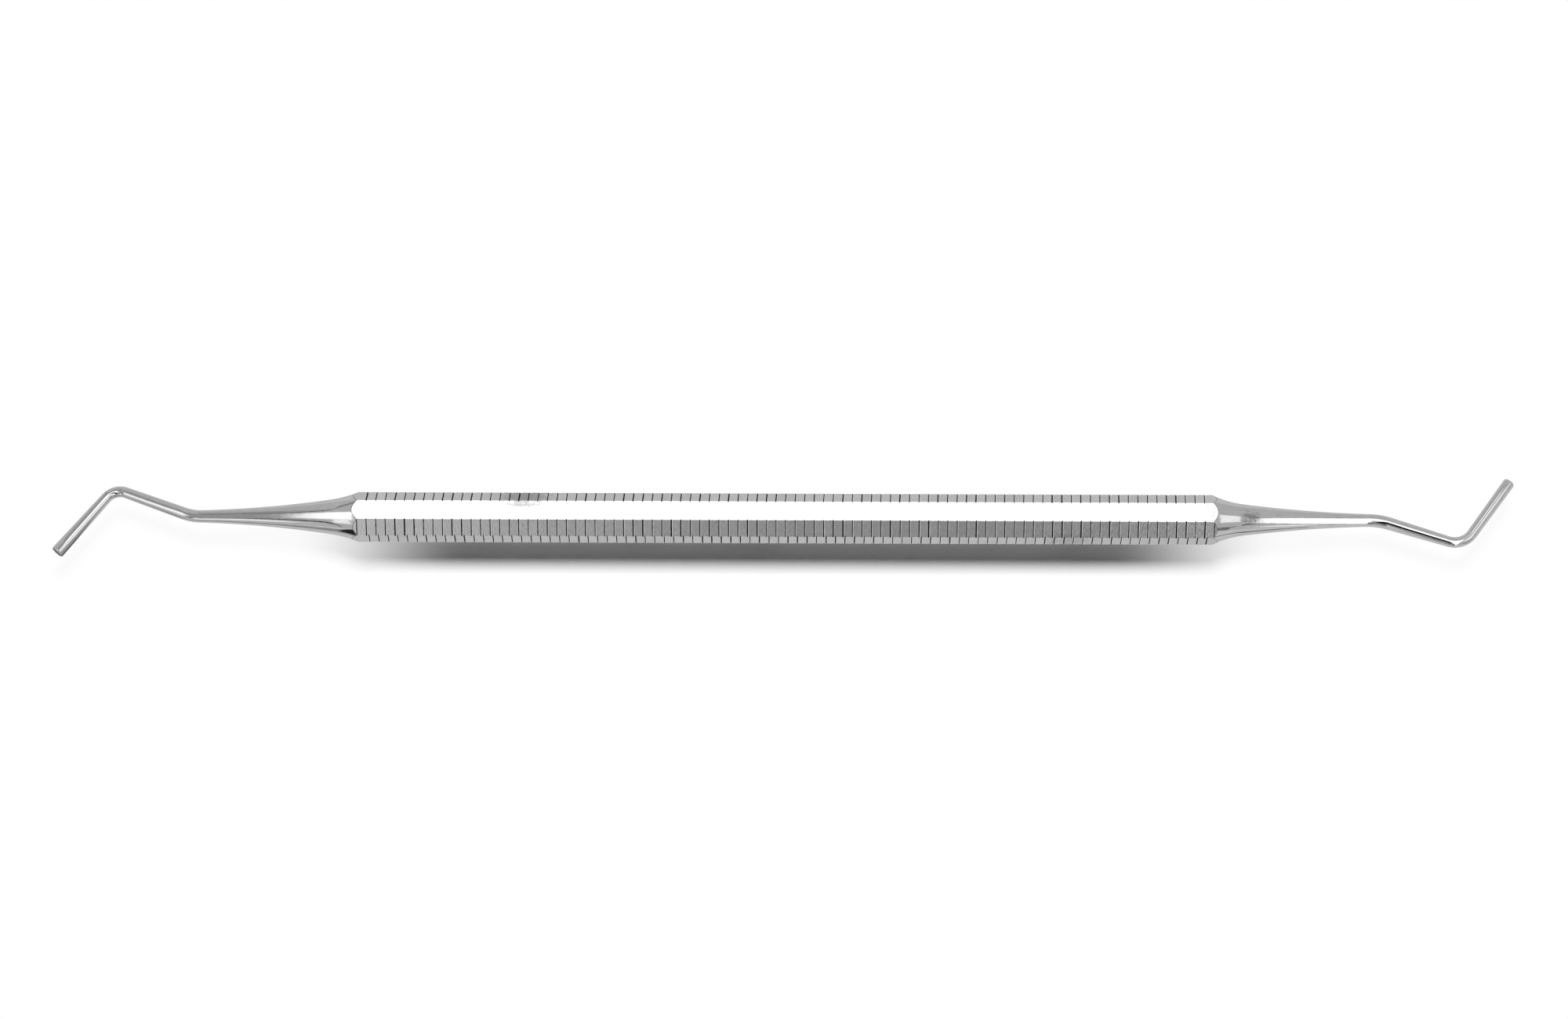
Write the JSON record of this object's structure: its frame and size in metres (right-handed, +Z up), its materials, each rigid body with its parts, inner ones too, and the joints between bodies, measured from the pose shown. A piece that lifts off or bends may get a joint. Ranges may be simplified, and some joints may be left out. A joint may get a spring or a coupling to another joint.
{
  "type": "plastic filling instrument",
  "caption": "Slim steel hand instrument for packing fillings: a grooved octagonal handle turned down at each end to a bent round shank with a short flat-ended condenser.",
  "frame": {"origin": "middle of the plain flat that the handle rests on", "axes": "+X along the handle, both bends lie in the XY plane, +Z up through the opposite plain flat"},
  "size_m": [0.1753, 0.0103, 0.0055],
  "materials": {
    "stainless_steel": "stainless steel, satin-ground on the grooved facets, mirror-polished on the plain flats and the shanks"
  },
  "bodies": {
    "root": {"filling_instrument": "stainless_steel"}
  },
  "joints": []
}
